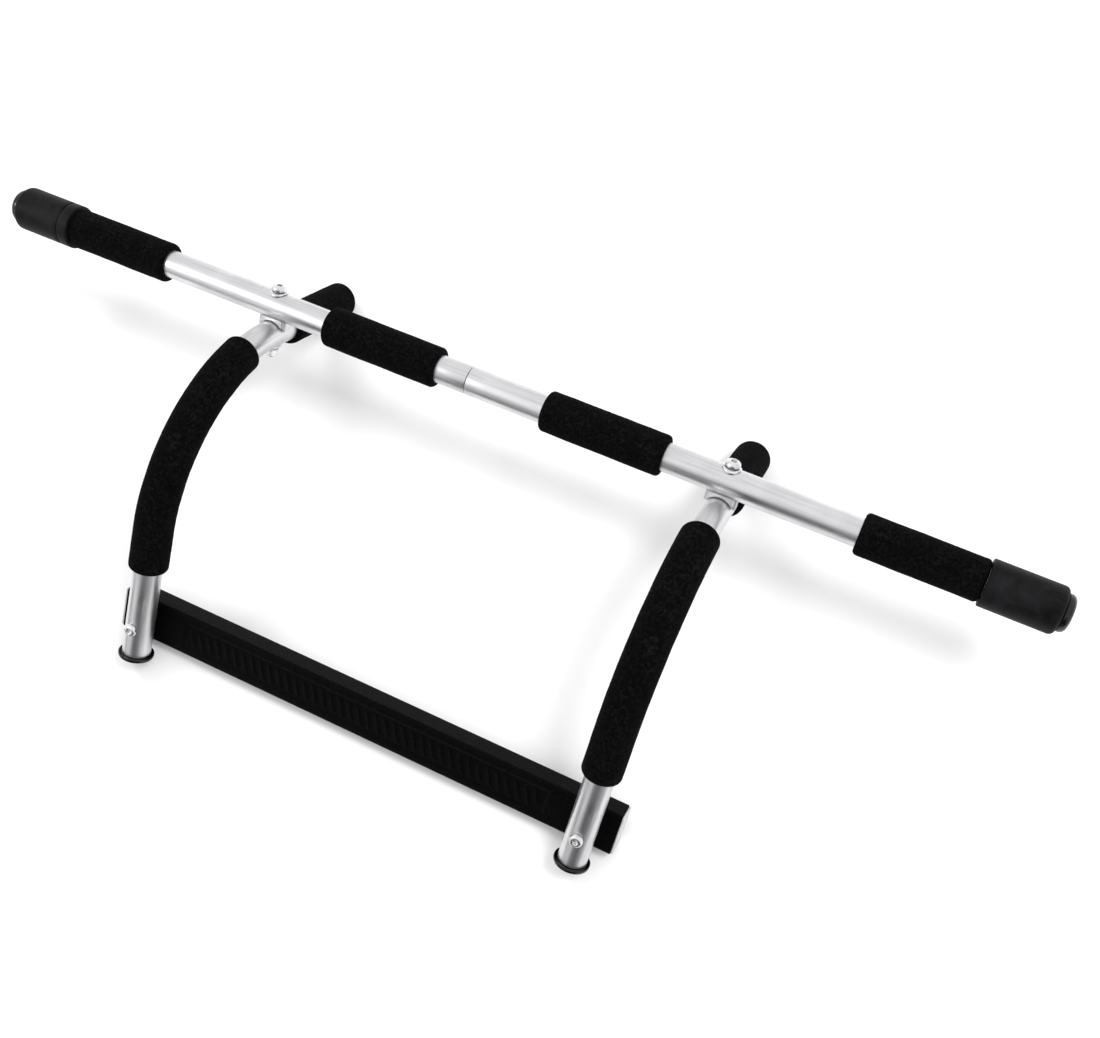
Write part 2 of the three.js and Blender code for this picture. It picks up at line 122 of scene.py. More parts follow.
def blendColours(tree, share, first, second):
    made = addNode(tree, "Mix", data_type="RGBA")
    sockets = [s for s in made.inputs if s.enabled]
    for socket, value in zip(sockets, (share, first, second)):
        if isinstance(value, bpy.types.NodeSocket):
            tree.links.new(value, socket)
        else:
            socket.default_value = value
    return next(s for s in made.outputs if s.enabled)


def sumOf(tree, first, second, operation="ADD"):
    made = addNode(tree, "Math", operation=operation)
    for socket, value in zip(made.inputs, (first, second)):
        if isinstance(value, bpy.types.NodeSocket):
            tree.links.new(value, socket)
        else:
            socket.default_value = value
    return made.outputs["Value"]


def bumpOf(tree, height, strength, distance, under=None):
    inputs = {"Height": height, "Strength": strength, "Distance": distance}
    if under is not None:
        inputs["Normal"] = under
    return addNode(tree, "Bump", inputs).outputs["Normal"]


def grey(level, blue=0.0):
    return (level, level, level * (1 + blue), 1)


# materials; "straight" is the piece's own coordinate, unrolled along its axis

def straightOf(tree):
    return addNode(tree, "Attribute", attribute_name="straight").outputs["Vector"]


def objectOf(tree):
    return addNode(tree, "TexCoord").outputs["Object"]


silverTubeLook = {
    "colour": 0.73, "dull": 0.62, "drawn": 0.4,
    "rough": 0.3, "roughest": 0.42, "scratchRough": 0.12,
    "drawLines": 520, "smudges": 22, "specks": 1900, "scratches": 160,
}


def silverTube(look, name="silverTube", place=straightOf):
    paint, tree, shader = newPaint(name, Metallic=1.0)
    along = place(tree)
    lines = noiseOf(tree, stretched(tree, along, (1, 1, 0.03)), look["drawLines"], 5)
    smudge = noiseOf(tree, along, look["smudges"], 3, 0.6, 0.4)
    speck = noiseOf(tree, along, look["specks"], 2)
    scratchNoise = noiseOf(tree, stretched(tree, along, (1, 1, 0.2)), look["scratches"], 2, 0.5, 1.5)
    scratch = ramp(tree, scratchNoise, 0.66, 0.7)
    smudged = ramp(tree, smudge, 0.35, 0.7)
    shade = blendColours(tree, smudged, grey(look["colour"], 0.02), grey(look["dull"], 0.03))
    shade = blendColours(tree, ramp(tree, lines, 0.42, 0.72, 0, 0.4), shade, grey(look["drawn"], 0.03))
    tree.links.new(shade, shader.inputs["Base Color"])
    rough = ramp(tree, smudge, 0.3, 0.7, look["rough"], look["roughest"])
    rougher = ramp(tree, scratch, 0, 1, 0, look["scratchRough"])
    tree.links.new(sumOf(tree, rough, rougher), shader.inputs["Roughness"])
    grain = bumpOf(tree, lines, 0.12, 0.0002)
    peel = bumpOf(tree, speck, 0.1, 0.00012, grain)
    tree.links.new(bumpOf(tree, scratch, 0.25, 0.00005, peel), shader.inputs["Normal"])
    return paint


brightBoltLook = {
    "colour": 0.82, "dull": 0.55, "rough": 0.16, "roughest": 0.34,
    "stains": 180, "grain": 2600,
}


def brightBolt(look):
    paint, tree, shader = newPaint("brightBolt", Metallic=1.0)
    place = objectOf(tree)
    stain = noiseOf(tree, place, look["stains"], 5, 0.6)
    fine = noiseOf(tree, place, look["grain"], 3)
    tree.links.new(
        blendColours(tree, ramp(tree, stain, 0.4, 0.75), grey(look["colour"]), grey(look["dull"], 0.04)),
        shader.inputs["Base Color"],
    )
    rough = ramp(tree, stain, 0.3, 0.75, look["rough"], look["roughest"])
    tree.links.new(rough, shader.inputs["Roughness"])
    tree.links.new(bumpOf(tree, fine, 0.15, 0.00008), shader.inputs["Normal"])
    return paint


saddleLook = {"colour": 0.8, "dull": 0.62, "rough": 0.34, "roughest": 0.5, "clouds": 90, "sand": 1500}


def castSaddle(look):
    paint, tree, shader = newPaint("castSaddle", Metallic=0.9)
    place = objectOf(tree)
    cloud = noiseOf(tree, place, look["clouds"], 4)
    sand = noiseOf(tree, place, look["sand"], 3, 0.6)
    tree.links.new(
        blendColours(tree, ramp(tree, cloud, 0.35, 0.7), grey(look["colour"]), grey(look["dull"])),
        shader.inputs["Base Color"],
    )
    tree.links.new(ramp(tree, cloud, 0.3, 0.7, look["rough"], look["roughest"]), shader.inputs["Roughness"])
    tree.links.new(bumpOf(tree, sand, 0.3, 0.00015), shader.inputs["Normal"])
    return paint


foamLook = {
    "colour": 0.0014, "worn": 0.0098, "poreShade": 0.0005, "shine": 0.04,
    "poreSize": 600, "skinSize": 400, "patches": 62,
}


def blackFoam(look):
    paint, tree, shader = newPaint("blackFoam", Specular_IOR_Level=look["shine"])
    along = straightOf(tree)
    pores = addNode(
        tree, "TexVoronoi", {"Vector": along, "Scale": look["poreSize"], "Randomness": 1.0},
    ).outputs["Distance"]
    skin = noiseOf(tree, along, look["skinSize"], 6, 0.65)
    patches = noiseOf(tree, along, look["patches"], 5, 0.62, 0.3)
    worn = sumOf(tree, ramp(tree, patches, 0.36, 0.66, 0.3, 1), ramp(tree, skin, 0.44, 0.66), "MULTIPLY")
    shade = blendColours(tree, worn, grey(look["colour"], 0.1), grey(look["worn"], 0.08))
    # the pore dimples are also painted darker: painted shade in the hollows of the pores
    shade = blendColours(tree, ramp(tree, pores, 0.12, 0.4, 0.7, 0), shade, grey(look["poreShade"]))
    tree.links.new(shade, shader.inputs["Base Color"])
    tree.links.new(ramp(tree, skin, 0.3, 0.7, 0.86, 1.0), shader.inputs["Roughness"])
    lumps = bumpOf(tree, skin, 0.5, 0.0009)
    tree.links.new(bumpOf(tree, pores, 0.6, 0.0006, lumps), shader.inputs["Normal"])
    return paint


sleeveLook = {
    "colour": 0.002, "scuffed": 0.013, "rough": 0.45, "roughest": 0.62, "shine": 0.1,
    "bloom": 48, "grain": 2300, "rubs": 240,
}


def sleeveRubber(look):
    paint, tree, shader = newPaint("sleeveRubber", Specular_IOR_Level=look["shine"])
    along = straightOf(tree)
    bloom = noiseOf(tree, along, look["bloom"], 5, 0.6, 0.5)
    matte = noiseOf(tree, along, look["grain"], 3, 0.6)
    rubNoise = noiseOf(tree, stretched(tree, along, (1, 1, 0.35)), look["rubs"], 3, 0.6, 1.2)
    rubbed = ramp(tree, rubNoise, 0.62, 0.72)
    share = sumOf(tree, ramp(tree, bloom, 0.35, 0.75), ramp(tree, rubbed, 0, 1, 0, 0.5))
    tree.links.new(
        blendColours(tree, share, grey(look["colour"], 0.12), grey(look["scuffed"], 0.14)),
        shader.inputs["Base Color"],
    )
    tree.links.new(ramp(tree, bloom, 0.3, 0.7, look["rough"], look["roughest"]), shader.inputs["Roughness"])
    tree.links.new(bumpOf(tree, matte, 0.25, 0.00015), shader.inputs["Normal"])
    return paint


plugLook = {
    "colour": 0.0012, "dusty": 0.006, "rough": 0.12, "roughest": 0.3, "shine": 0.4,
    "dust": 300, "swirls": 900,
}


def glossPlug(look):
    paint, tree, shader = newPaint("glossPlug", Specular_IOR_Level=look["shine"])
    along = straightOf(tree)
    dust = noiseOf(tree, along, look["dust"], 5, 0.6)
    swirls = noiseOf(tree, along, look["swirls"], 2, 0.5, 2.5)
    tree.links.new(
        blendColours(tree, ramp(tree, dust, 0.5, 0.8), grey(look["colour"]), grey(look["dusty"])),
        shader.inputs["Base Color"],
    )
    rough = ramp(tree, dust, 0.35, 0.75, look["rough"], look["roughest"])
    tree.links.new(rough, shader.inputs["Roughness"])
    tree.links.new(bumpOf(tree, swirls, 0.08, 0.00006), shader.inputs["Normal"])
    return paint


coverLook = {
    "colour": 0.0004, "speckle": 0.0065, "rough": 0.36, "roughest": 0.55, "shine": 0.04,
    "grit": 620, "clouds": 30,
}


def braceRubber(look):
    paint, tree, shader = newPaint("braceRubber", Specular_IOR_Level=look["shine"])
    place = objectOf(tree)
    grit = noiseOf(tree, place, look["grit"], 4, 0.7)
    cloud = noiseOf(tree, place, look["clouds"], 4, 0.55)
    share = sumOf(tree, ramp(tree, grit, 0.5, 0.78), ramp(tree, cloud, 0.25, 0.7, 0.35, 1), "MULTIPLY")
    tree.links.new(
        blendColours(tree, share, grey(look["colour"], 0.05), grey(look["speckle"], 0.05)),
        shader.inputs["Base Color"],
    )
    tree.links.new(ramp(tree, grit, 0.35, 0.7, look["rough"], look["roughest"]), shader.inputs["Roughness"])
    tree.links.new(bumpOf(tree, grit, 0.8, 0.0005), shader.inputs["Normal"])
    return paint


capLook = {
    "colour": 0.62, "soiled": 0.42, "rough": 0.38, "roughest": 0.6, "shine": 0.45,
    "soil": 60, "grain": 1800,
}


def paleCap(look):
    paint, tree, shader = newPaint("paleCap", Specular_IOR_Level=look["shine"])
    place = objectOf(tree)
    soil = noiseOf(tree, place, look["soil"], 6, 0.65)
    fine = noiseOf(tree, place, look["grain"], 2)
    tree.links.new(
        blendColours(tree, ramp(tree, soil, 0.45, 0.8), grey(look["colour"]), grey(look["soiled"])),
        shader.inputs["Base Color"],
    )
    tree.links.new(ramp(tree, soil, 0.3, 0.7, look["rough"], look["roughest"]), shader.inputs["Roughness"])
    tree.links.new(bumpOf(tree, fine, 0.2, 0.0001), shader.inputs["Normal"])
    return paint


tubePaint = silverTube(silverTubeLook)
hiddenTubePaint = silverTube(silverTubeLook, "innerTube", objectOf)
boltPaint = brightBolt(brightBoltLook)
saddlePaint = castSaddle(saddleLook)
foamPaint = blackFoam(foamLook)
sleevePaint = sleeveRubber(sleeveLook)
plugPaint = glossPlug(plugLook)
coverPaint = braceRubber(coverLook)
capPaint = paleCap(capLook)
print("materials made")


# skins: every piece is a run of rings

def skinRings(name, rings, straight, paint, closed=False, creaseAngle=32):
    count = len(rings[0])
    points = [point for ring in rings for point in ring]
    coordinates = [point for ring in straight for point in ring]
    faces = []
    for first in range(len(rings) - (0 if closed else 1)):
        second = (first + 1) % len(rings)
        for i in range(count):
            j = (i + 1) % count
            faces.append((first * count + i, first * count + j, second * count + j, second * count + i))
    if not closed:  # both ends are drawn together to a middle point
        for ring, last in ((0, False), (len(rings) - 1, True)):
            middle = len(points)
            points.append(sum(rings[ring], Vector()) / count)
            coordinates.append(sum(straight[ring], Vector()) / count)
            for i in range(count):
                j = (i + 1) % count
                corner = (ring * count + i, ring * count + j, middle)
                faces.append(corner if last else tuple(reversed(corner)))
    mesh = bpy.data.meshes.new(name)
    mesh.from_pydata(points, [], faces)
    store = mesh.attributes.new("straight", "FLOAT_VECTOR", "POINT")
    store.data.foreach_set("vector", [value for point in coordinates for value in point])
    work = bmesh.new()
    work.from_mesh(mesh)
    bmesh.ops.recalc_face_normals(work, faces=work.faces)
    work.to_mesh(mesh)
    work.free()
    piece = bpy.data.objects.new(name, mesh)
    scene.collection.objects.link(piece)
    mesh.materials.append(paint)
    smoothPiece(piece, creaseAngle)
    return piece


def smoothPiece(piece, creaseAngle):
    piece.data.shade_smooth()
    piece.data.set_sharp_from_angle(angle=math.radians(creaseAngle))


def around(count):
    return [fullTurn * i / count for i in range(count)]


def closeSteps(outline, step):
    # the same outline with long straight stretches cut into steps
    fine = []
    for (d, r), (dNext, rNext) in zip(outline, outline[1:]):
        pieces = max(1, math.ceil(math.hypot(dNext - d, rNext - r) / step))
        fine += [(d + (dNext - d) * k / pieces, r + (rNext - r) * k / pieces) for k in range(pieces)]
    return fine + [outline[-1]]


def arc(centre, radius, start, end, steps=6):
    # degrees; a point is (distance along, radius)
    points = []
    for k in range(steps + 1):
        angle = math.radians(start + (end - start) * k / steps)
        points.append((centre[0] + radius * math.cos(angle), centre[1] + radius * math.sin(angle)))
    return points


def shellOutline(start, end, bore, radius, startRound, endRound, step=0.002, mouth=0.0008):
    # once round the wall of a tube or sleeve: out over the start, along, and back through the bore
    outer = arc((start + startRound, radius - startRound), startRound, 180, 90)
    outer += arc((end - endRound, radius - endRound), endRound, 90, 0)
    inner = arc((end - mouth, bore + mouth), mouth, 0, -90, 3)
    inner += arc((start + mouth, bore + mouth), mouth, -90, -180, 3)
    return closeSteps(outer, step) + closeSteps(inner, max(step, 0.008))


def alongLine(name, line, outline, paint, sideCount=72, closed=True, swell=None, creaseAngle=32):
    rings, straight = [], []
    for distance, radius in outline:
        frameThere = line(distance)
        ring, flat = [], []
        for angle in around(sideCount):
            grown = radius + (swell(distance, angle, radius) if swell else 0)
            local = Vector((grown * math.cos(angle), grown * math.sin(angle), 0))
            ring.append(frameThere @ local)
            flat.append(Vector((local.x, local.y, distance)))
        rings.append(ring)
        straight.append(flat)
    return skinRings(name, rings, straight, paint, closed, creaseAngle)


def nameOf(node):
    words = node.split("_")
    return words[0] + "".join(word.capitalize() for word in words[1:])


def settle(piece, slot, *nodes):
    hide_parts(*nodes)
    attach(piece, "root")
    return piece


def applyModifiers(piece):
    graph = bpy.context.evaluated_depsgraph_get()
    bpy.context.view_layer.update()
    shaped = bpy.data.meshes.new_from_object(piece.evaluated_get(graph))
    old = piece.data
    piece.modifiers.clear()
    piece.data = shaped
    bpy.data.meshes.remove(old)


def cutAway(piece, cutters):
    for cutter in cutters:
        cut = piece.modifiers.new("cut", "BOOLEAN")
        cut.operation = "DIFFERENCE"
        cut.solver = "EXACT"
        cut.object = cutter
    applyModifiers(piece)
    for cutter in cutters:
        bpy.data.objects.remove(cutter)


def drillBit(place, radius, start, end):
    # a plain cutter along the place's own Z
    line = lambda d: place @ Matrix.Translation((0, 0, d))
    ends = [(start, radius), (end, radius)]
    return alongLine("drillBit", line, ends, boltPaint, sideCount=48, closed=False)


# where things are

drillReach = 0.02  # past both walls of any tube, from its middle
arm = {
    "spacing": 0.430,
    "legLength": 0.1257,
    "bendRadius": 0.1493,
    "bendAngle": math.radians(85.4),
    "runToBar": 0.0064,
    "runToEnd": 0.120,
    "radius": 0.0125,
    "wall": 0.0015,
}
brace = {
    "length": 0.482,
    "depth": 0.021,
    "height": 0.040,
    "rise": 0.0085,  # above the lower end of the legs
    "offset": 0.01285,  # front face, from the legs' centres
    "rounding": 0.0025,
    "coverWall": 0.0014,
    "tubeWall": 0.0012,
}
gap = 0.00035

bendEnd = arm["legLength"] + arm["bendRadius"] * arm["bendAngle"]
crossing = bendEnd + arm["runToBar"]
armEnd = crossing + arm["runToEnd"]
braceMiddle = brace["rise"] + brace["height"] / 2
boreOfArm = arm["radius"] - arm["wall"]


def legFrame(x):
    # +Z up the legs and +Y away from the front of the brace, as the brace's two mounts say
    rear = Vector(mounts["brace_wall_face"]["axis"]).normalized()
    up = Vector(mounts["brace_ledge_face"]["axis"]).normalized()
    wallPoint = Vector(mounts["brace_wall_face"]["pos_m"])
    foot = wallPoint - rear * (brace["offset"] + brace["depth"]) - up * braceMiddle
    made = Matrix.Identity(4)
    for column, direction in enumerate((Vector((1, 0, 0)), rear, up, foot)):
        made.col[column][:3] = direction
    made[0][3] = x
    return made


def armLine(x):
    # a frame at each distance from the foot: +Z on along the arm, +Y into the bend
    leg = legFrame(x)

    def at(distance):
        turn = min(max((distance - arm["legLength"]) / arm["bendRadius"], 0), arm["bendAngle"])
        tangent = Vector((0, math.sin(turn), math.cos(turn)))
        inward = Vector((0, math.cos(turn), -math.sin(turn)))
        point = Vector((
            0,
            arm["bendRadius"] * (1 - math.cos(turn)),
            min(distance, arm["legLength"]) + arm["bendRadius"] * math.sin(turn),
        )) + tangent * max(distance - bendEnd, 0)
        local = Matrix.Identity(4)
        for column, direction in enumerate((Vector((1, 0, 0)), inward, tangent, point)):
            local.col[column][:3] = direction
        return leg @ local

    return at


def boxMiddle(node):
    low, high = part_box(node)
    return (low + high) / 2


barMiddle = boxMiddle("bar_tube_left")
outOfBend = -(armLine(0)(crossing).col[1].to_3d())  # at the crossing, from the arm towards the bar


def barLine(distance):
    # +Z along the bar towards its right end, +X away from the arms
    side = Vector((1, 0, 0)).cross(outOfBend)
    made = Matrix.Identity(4)
    for column, direction in enumerate((outOfBend, side, Vector((1, 0, 0)))):
        made.col[column][:3] = direction
    made.col[3][:3] = (distance, barMiddle.y, barMiddle.z)
    return made


def jointFrame(x):
    # at the crossing: +X along the bar, +Y on along the arm, +Z from the arm to the bar
    there = armLine(x)(crossing)
    along, onward, middle = (there.col[column].to_3d() for column in (0, 2, 3))
    made = Matrix.Identity(4)
    for column, direction in enumerate((along, onward, outOfBend, middle)):
        made.col[column][:3] = direction
    return made


barRise = (barLine(0).col[3].to_3d() - armLine(0)(crossing).col[3].to_3d()).dot(outOfBend)


# long bar

barTube = {"radius": 0.0125, "wall": 0.0015, "lip": 0.0006, "sides": 96, "boltHole": 0.00435}
barLook = {
    "gripRadius": 0.018,
    "gripRound": 0.0038,
    "sleeveRadius": 0.020,
    "sleeveLip": 0.001,
    "groove": 0.0108,  # ring in the left sleeve, from its inner end
    "grooveSteps": ((0.0012, 0), (0.0008, 0.0002), (0.0005, 0.0009)),  # half width and depth
    "sleeveShoulder": 0.0045,
    "plugRadius": 0.0158,
    "plugRound": 0.005,
}


def makeBarTubes():
    radius, wall, lip = barTube["radius"], barTube["wall"], barTube["lip"]
    bore = radius - wall
    leftLow, leftHigh = (corner.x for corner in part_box("bar_tube_left"))
    rightLow, rightHigh = (corner.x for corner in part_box("bar_tube_right"))
    spigot = bore - gap
    shoulder = rightLow - gap
    left = arc((leftLow + lip, radius - lip), lip, 180, 90, 3)
    left += [(shoulder - 0.0012, radius), (shoulder - 0.0004, radius - 0.0003), (shoulder, radius - 0.0009)]
    left += [(shoulder + 0.0002, spigot), (leftHigh - 0.002, spigot), (leftHigh, spigot - 0.0008)]
    left += [(leftHigh, spigot - wall), (shoulder - 0.001, spigot - wall)]
    left += [(shoulder - 0.004, bore), (leftLow, bore)]
    right = shellOutline(rightLow, rightHigh, bore, radius, lip, lip, 0.02, 0.0002)
    for side, sign, outline in (("left", -1, closeSteps(left, 0.02)), ("right", 1, right)):
        name = "bar_tube_" + side
        piece = alongLine(nameOf(name), barLine, outline, tubePaint, barTube["sides"])
        x = sign * arm["spacing"] / 2
        there = jointFrame(x) @ Matrix.Translation((0, 0, barRise))
        cutAway(piece, [drillBit(there, barTube["boltHole"], -drillReach, drillReach)])
        smoothPiece(piece, 32)
        settle(piece, "tube_steel", name)


def foamSwell(seed, lumps=0.00022, grain=0.00009, edge=0.014, creases=0.0):
    # uneven foam: slow lumps, a fine grain, and creases on the inside of a bend
    def swell(distance, angle, radius):
        if radius < edge:
            return 0
        at = Vector((math.cos(angle) * 0.017, math.sin(angle) * 0.017, distance))
        height = lumps * noise.noise(at * 60 + Vector((seed, 0, 0)))
        height += grain * noise.noise(at * 420 + Vector((0, seed, 0)))
        if creases:
            inside = max(0.0, math.sin(angle)) ** 2
            wave = math.sin(distance * 560 + 2.2 * noise.noise(at * 45))
            height -= creases * inside * max(0.0, wave) ** 3
        return height

    return swell


def makeBarGrips():
    bore = barTube["radius"] + gap
    for number, name in enumerate(("bar_grip_inner", "bar_grip_outer")):
        for side, sign in sides:
            node = f"{name}_{side}"
            low, high = (corner.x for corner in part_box(node))
            rounding = barLook["gripRound"]
            outline = shellOutline(low, high, bore, barLook["gripRadius"], rounding, rounding, 0.0016)
            swell = foamSwell(3 + number * 7 + sign)
            piece = alongLine(nameOf(node), barLine, outline, foamPaint, 96, swell=swell)
            settle(piece, "black_foam", node)


def ringGroove(place, radius):
    steps = barLook["grooveSteps"]
    falling = [(place - half, radius - depth) for half, depth in steps]
    rising = [(place + half, radius - depth) for half, depth in reversed(steps)]
    return falling + rising


def makeEndSleeves():
    bore = barTube["radius"] + gap
    radius = barLook["sleeveRadius"]
    for side, sign in sides:
        node = "end_sleeve_" + side
        low, high = (corner.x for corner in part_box(node))
        inner, outer = (low, high) if sign > 0 else (high, low)
        lip, shoulder = barLook["sleeveLip"], barLook["sleeveShoulder"]
        # distances from the inner end, towards the end of the bar
        length = abs(outer - inner)
        outline = arc((lip, radius - lip), lip, 180, 90, 4)
        if side == "left":
            outline += ringGroove(barLook["groove"], radius)
        outline += arc((length - shoulder, radius - shoulder), shoulder, 90, 0, 8)
        outline += [(length, radius - shoulder - 0.0012), (length - 0.0006, radius - shoulder - 0.0018)]
        outline += [(length - 0.0006, bore + 0.0004), (length - 0.001, bore)]
        outline += [(0.0006, bore), (0, bore + 0.0006)]
        line = lambda d, inner=inner, sign=sign: barLine(inner + sign * d)
        piece = alongLine(nameOf(node), line, closeSteps(outline, 0.004), sleevePaint, 96, creaseAngle=40)
        settle(piece, "sleeve_rubber", node)


def makeEndPlugs():
    for side, sign in sides:
        node = "bar_end_plug_" + side
        low, high = (corner.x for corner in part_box(node))
        outer, inner = (high, low) if sign > 0 else (low, high)
        tubeEnd = max(abs(corner.x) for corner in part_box("bar_tube_" + side))
        neck, shank = barTube["radius"], barTube["radius"] - barTube["wall"] - gap
        radius, rounding = barLook["plugRadius"], barLook["plugRound"]
        start, seat, end = abs(inner), tubeEnd + gap, abs(outer)
        under = max(abs(corner.x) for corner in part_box("end_sleeve_" + side)) + gap
        outline = [(start, shank - 0.0014), (start + 0.0008, shank - 0.0006), (seat - 0.003, shank)]
        outline += [(seat, shank), (seat, neck), (under, neck)]
        outline += arc((under + 0.0007, radius - 0.0007), 0.0007, 180, 90, 4)
        outline += arc((end - rounding, radius - rounding), rounding, 90, 8, 9)
        outline += [(end, 0.0078), (end - 0.0007, 0.0070), (end - 0.0007, 0.0005)]
        line = lambda d, sign=sign: barLine(sign * d)
        fine = closeSteps(outline, 0.004)
        piece = alongLine(nameOf(node), line, fine, plugPaint, closed=False, creaseAngle=40)
        settle(piece, "plug_plastic", node)


makeBarTubes()
makeBarGrips()
makeEndSleeves()
makeEndPlugs()
print("long bar made")


# arms

armLook = {
    "gripRadius": 0.017,
    "gripStart": 0.0865,
    "gripClearance": 0.0455,  # bare tube up to the long bar's centre
    "handleGripStart": 0.019,
    "gripRound": 0.0042,
    "creases": 0.0005,
    "sides": 80,
}
footLook = {"radius": 0.0155, "thickness": 0.0032, "rounding": 0.0012, "depth": 0.016}
handleLook = {"thickness": 0.002, "rounding": 0.0009}


def makeArmTube(side, x):
    node = "arm_tube_" + side
    outline = shellOutline(0, armEnd, boreOfArm, arm["radius"], 0.0005, 0.0005, 0.004, 0.0002)
    piece = alongLine(nameOf(node), armLine(x), outline, tubePaint, armLook["sides"])
    footHole = legFrame(x) @ Matrix.Translation((0, 0, braceMiddle)) @ Matrix.Rotation(math.pi / 2, 4, "X")
    cutAway(piece, [
        drillBit(jointFrame(x), barTube["boltHole"], -drillReach, drillReach),
        drillBit(footHole, footBolt["shank"] + gap, -drillReach, drillReach),
    ])
    smoothPiece(piece, 32)
    settle(piece, "tube_steel", node)


def makeArmGrips(side, x):
    bore = arm["radius"] + gap
    rounding = armLook["gripRound"]
    stretches = (
        ("arm_grip_", armLook["gripStart"], crossing - armLook["gripClearance"], armLook["creases"]),
        ("handle_grip_", crossing + armLook["handleGripStart"], armEnd, 0.0),
    )
    for number, (name, start, end, creases) in enumerate(stretches):
        node = name + side
        outline = shellOutline(start, end, bore, armLook["gripRadius"], rounding, rounding, 0.0017)
        swell = foamSwell(21 + 9 * number + (4 if x > 0 else 0), creases=creases)
        piece = alongLine(nameOf(node), armLine(x), outline, foamPaint, 96, swell=swell)
        settle(piece, "black_foam", node)


def plugOutline(shank, depth, head, height, rounding):
    # shank below 0 and head above it, to a shallow dish in the middle of the head
    outline = [(-depth, shank - 0.0016), (-depth + 0.0008, shank - 0.0008), (-0.004, shank), (0, shank)]
    outline += [(0, head - 0.0004), (0.0004, head)]
    outline += arc((height - rounding, head - rounding), rounding, 90, 0, 5)
    return outline + [(height, head * 0.62), (height - 0.0004, head * 0.56), (height - 0.0004, head * 0.12)]


def makeArmPlugs(side, x):
    line = armLine(x)
    shank, depth = boreOfArm - gap, footLook["depth"]
    handle = plugOutline(shank, depth, arm["radius"], handleLook["thickness"], handleLook["rounding"])
    foot = plugOutline(shank, depth, footLook["radius"], footLook["thickness"], footLook["rounding"])
    ends = (
        ("handle_plug_", handle, lambda d: line(armEnd + gap + d)),
        ("foot_plug_", foot, lambda d: line(0) @ Matrix.Translation((0, 0, -gap - d))),
    )
    for name, outline, place in ends:
        node = name + side
        fine = closeSteps(outline, 0.004)
        piece = alongLine(nameOf(node), place, fine, plugPaint, closed=False, creaseAngle=40)
        settle(piece, "plug_plastic", node)


# fasteners

barBolt = {
    "shank": 0.004, "head": 0.0067, "headHeight": 0.0044, "key": 0.0029, "keyDepth": 0.0024,
    "pitch": 0.00125, "threaded": 0.011,
}
footBolt = {
    "shank": 0.003, "head": 0.0059, "headHeight": 0.0036, "key": 0.0023, "keyDepth": 0.0020,
    "pitch": 0.001, "threaded": 0.011,
}
nutLook = {"height": 0.006, "barRadius": 0.0072, "footRadius": 0.0058, "tip": 0.0025}
washerLook = {"thickness": 0.0014, "barRadius": 0.0082, "footRadius": 0.007, "edge": 0.0002, "sides": 64}


def hexRadius(across, angle):
    # distance to the side of a hexagon whose corners are at that radius
    part = (angle % (fullTurn / 6)) - fullTurn / 12
    return across * math.cos(fullTurn / 12) / math.cos(part)


def makeBolt(name, place, size, length):
    # seat at height 0, head above it, threads at the end of the shank
    count = 48
    shank, head, height = size["shank"], size["head"], size["headHeight"]
    rings, straight = [], []

    def addRing(z, radiusAt):
        points = [Vector((radiusAt(a) * math.cos(a), radiusAt(a) * math.sin(a), z)) for a in around(count)]
        straight.append(points)
        rings.append([place @ point for point in points])

    addRing(-length, lambda a: shank - 0.0012)
    addRing(-length + 0.0003, lambda a: shank - 0.0009)
    steps = round(size["threaded"] / size["pitch"] * 6)
    for k in range(steps + 1):
        z = -length + 0.0005 + size["threaded"] * k / steps
        fade = min(1, k / 6, (steps - k) / 6)

        def threadRadius(a, z=z, fade=fade):
            turn = (z / size["pitch"] - a / fullTurn) % 1
            return shank - 0.00008 - 0.55 * size["pitch"] * fade * abs(2 * turn - 1)

        addRing(z, threadRadius)
    addRing(-0.0006, lambda a: shank)
    addRing(0, lambda a: shank + 0.0003)
    addRing(0, lambda a: head - 0.0003)
    addRing(0.0003, lambda a: head)
    domeStart = 0.22  # share of the head's height
    addRing(height * domeStart, lambda a: head)
    rim = size["key"] + 0.0009
    for k in range(1, 9):  # the dome of the button head
        share = k / 8
        z = height * (domeStart + (1 - domeStart) * math.sin(share * math.pi / 2))
        radius = rim + (head - rim) * math.cos(share * math.pi / 2) ** 0.9
        addRing(z, lambda a, radius=radius: radius)
    addRing(height, lambda a: size["key"] + 0.0004)
    addRing(height - 0.0003, lambda a: hexRadius(size["key"], a))
    addRing(height - size["keyDepth"], lambda a: hexRadius(size["key"], a))
    addRing(height - size["keyDepth"] - 0.0004, lambda a: size["key"] * 0.35)
    return skinRings(nameOf(name), rings, straight, boltPaint, creaseAngle=35)


def makeNut(name, place, corner, hole):
    count, height = 72, nutLook["height"]
    flat = corner * math.cos(fullTurn / 12)
    rings, straight = [], []
    chamfer = [(0, flat * 0.97), (0.0003, flat * 1.01), (0.0007, flat * 1.06), (0.0012, flat * 1.11)]
    chamfer.append((0.0018, corner))
    outer = chamfer + [(height - z, r) for z, r in reversed(chamfer)]
    inner = [(height, hole + 0.0006), (height - 0.0006, hole), (0.0006, hole), (0, hole + 0.0006)]
    for k, (z, radius) in enumerate(outer + inner):
        ring = []
        for a in around(count):
            r = min(hexRadius(corner, a), radius) if k < len(outer) else radius
            ring.append(Vector((r * math.cos(a), r * math.sin(a), z)))
        straight.append(ring)
        rings.append([place @ point for point in ring])
    return skinRings(nameOf(name), rings, straight, boltPaint, closed=True, creaseAngle=24)


